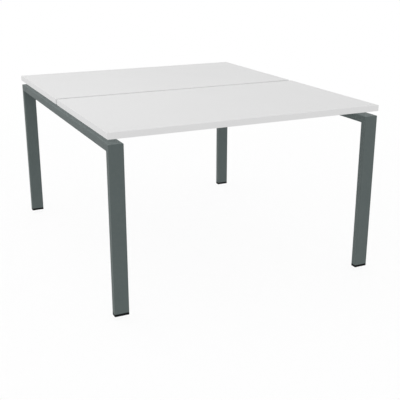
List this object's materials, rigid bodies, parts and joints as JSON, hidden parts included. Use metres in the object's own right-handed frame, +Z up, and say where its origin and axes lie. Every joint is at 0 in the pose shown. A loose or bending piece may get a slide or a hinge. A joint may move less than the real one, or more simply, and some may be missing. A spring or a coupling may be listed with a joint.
{
  "type": "benching desk",
  "caption": "Office benching desk: white worktops side by side across a narrow cable slot, standing clear of grey goal-post end frames of flat tube on black levelling feet.",
  "frame": {"origin": "on the floor, under the middle of the desk", "axes": "+X along the front edge to the right, +Y from the front user to the rear user, +Z up"},
  "size_m": [1.2, 1.42, 0.735],
  "materials": {
    "worktop": "white melamine facing, satin, on chipboard",
    "edging": "white plastic edging, satin",
    "frame": "green-grey powder coat, satin with a fine texture",
    "fastener": "bright zinc plate",
    "foot_plastic": "black moulded plastic, matt"
  },
  "bodies": {
    "desk": {"front_worktop_board": "worktop", "front_worktop_front_edging": "edging", "front_worktop_rear_edging": "edging", "front_worktop_left_edging": "edging", "front_worktop_right_edging": "edging", "rear_worktop_board": "worktop", "rear_worktop_front_edging": "edging", "rear_worktop_rear_edging": "edging", "rear_worktop_left_edging": "edging", "rear_worktop_right_edging": "edging", "left_cross_beam": "frame", "right_cross_beam": "frame", "left_front_leg": "frame", "left_rear_leg": "frame", "right_front_leg": "frame", "right_rear_leg": "frame", "front_outer_rail": "frame", "front_inner_rail": "frame", "rear_inner_rail": "frame", "rear_outer_rail": "frame", "front_outer_rail_left_bracket": "frame", "front_outer_rail_right_bracket": "frame", "front_inner_rail_left_bracket": "frame", "front_inner_rail_right_bracket": "frame", "rear_inner_rail_left_bracket": "frame", "rear_inner_rail_right_bracket": "frame", "rear_outer_rail_left_bracket": "frame", "rear_outer_rail_right_bracket": "frame", "front_outer_rail_left_bolt": "fastener", "front_outer_rail_right_bolt": "fastener", "front_inner_rail_left_bolt": "fastener", "front_inner_rail_right_bolt": "fastener", "rear_inner_rail_left_bolt": "fastener", "rear_inner_rail_right_bolt": "fastener", "rear_outer_rail_left_bolt": "fastener", "rear_outer_rail_right_bolt": "fastener", "front_outer_rail_screw_1": "fastener", "front_outer_rail_screw_2": "fastener", "front_outer_rail_screw_3": "fastener", "front_inner_rail_screw_1": "fastener", "front_inner_rail_screw_2": "fastener", "front_inner_rail_screw_3": "fastener", "rear_inner_rail_screw_1": "fastener", "rear_inner_rail_screw_2": "fastener", "rear_inner_rail_screw_3": "fastener", "rear_outer_rail_screw_1": "fastener", "rear_outer_rail_screw_2": "fastener", "rear_outer_rail_screw_3": "fastener", "left_front_leg_plug": "foot_plastic", "left_rear_leg_plug": "foot_plastic", "right_front_leg_plug": "foot_plastic", "right_rear_leg_plug": "foot_plastic"},
    "left_front_foot": {"left_front_foot": "foot_plastic"},
    "left_front_stem": {"left_front_foot_stem": "fastener"},
    "left_rear_foot": {"left_rear_foot": "foot_plastic"},
    "left_rear_stem": {"left_rear_foot_stem": "fastener"},
    "right_front_foot": {"right_front_foot": "foot_plastic"},
    "right_front_stem": {"right_front_foot_stem": "fastener"},
    "right_rear_foot": {"right_rear_foot": "foot_plastic"},
    "right_rear_stem": {"right_rear_foot_stem": "fastener"}
  },
  "joints": [
    {"name": "left_front_foot_travel", "type": "slide", "parent": "desk", "child": "left_front_foot", "axis": [0, 0, 1], "range_m": [-0.015, 0]},
    {"name": "left_front_stem_turn", "type": "hinge", "parent": "left_front_foot", "child": "left_front_stem", "pos_m": [-0.568, -0.693, 0.02], "axis": [0, 0, 1], "range_deg": [-3600, 0]},
    {"name": "left_rear_foot_travel", "type": "slide", "parent": "desk", "child": "left_rear_foot", "axis": [0, 0, 1], "range_m": [-0.015, 0]},
    {"name": "left_rear_stem_turn", "type": "hinge", "parent": "left_rear_foot", "child": "left_rear_stem", "pos_m": [-0.568, 0.693, 0.02], "axis": [0, 0, 1], "range_deg": [-3600, 0]},
    {"name": "right_front_foot_travel", "type": "slide", "parent": "desk", "child": "right_front_foot", "axis": [0, 0, 1], "range_m": [-0.015, 0]},
    {"name": "right_front_stem_turn", "type": "hinge", "parent": "right_front_foot", "child": "right_front_stem", "pos_m": [0.568, -0.693, 0.02], "axis": [0, 0, 1], "range_deg": [-3600, 0]},
    {"name": "right_rear_foot_travel", "type": "slide", "parent": "desk", "child": "right_rear_foot", "axis": [0, 0, 1], "range_m": [-0.015, 0]},
    {"name": "right_rear_stem_turn", "type": "hinge", "parent": "right_rear_foot", "child": "right_rear_stem", "pos_m": [0.568, 0.693, 0.02], "axis": [0, 0, 1], "range_deg": [-3600, 0]}
  ],
  "couplings": [
    {"joint": "left_front_stem_turn", "follows": "left_front_foot_travel", "rad_per_m": 4188.8},
    {"joint": "left_rear_stem_turn", "follows": "left_rear_foot_travel", "rad_per_m": 4188.8},
    {"joint": "right_front_stem_turn", "follows": "right_front_foot_travel", "rad_per_m": 4188.8},
    {"joint": "right_rear_stem_turn", "follows": "right_rear_foot_travel", "rad_per_m": 4188.8}
  ]
}
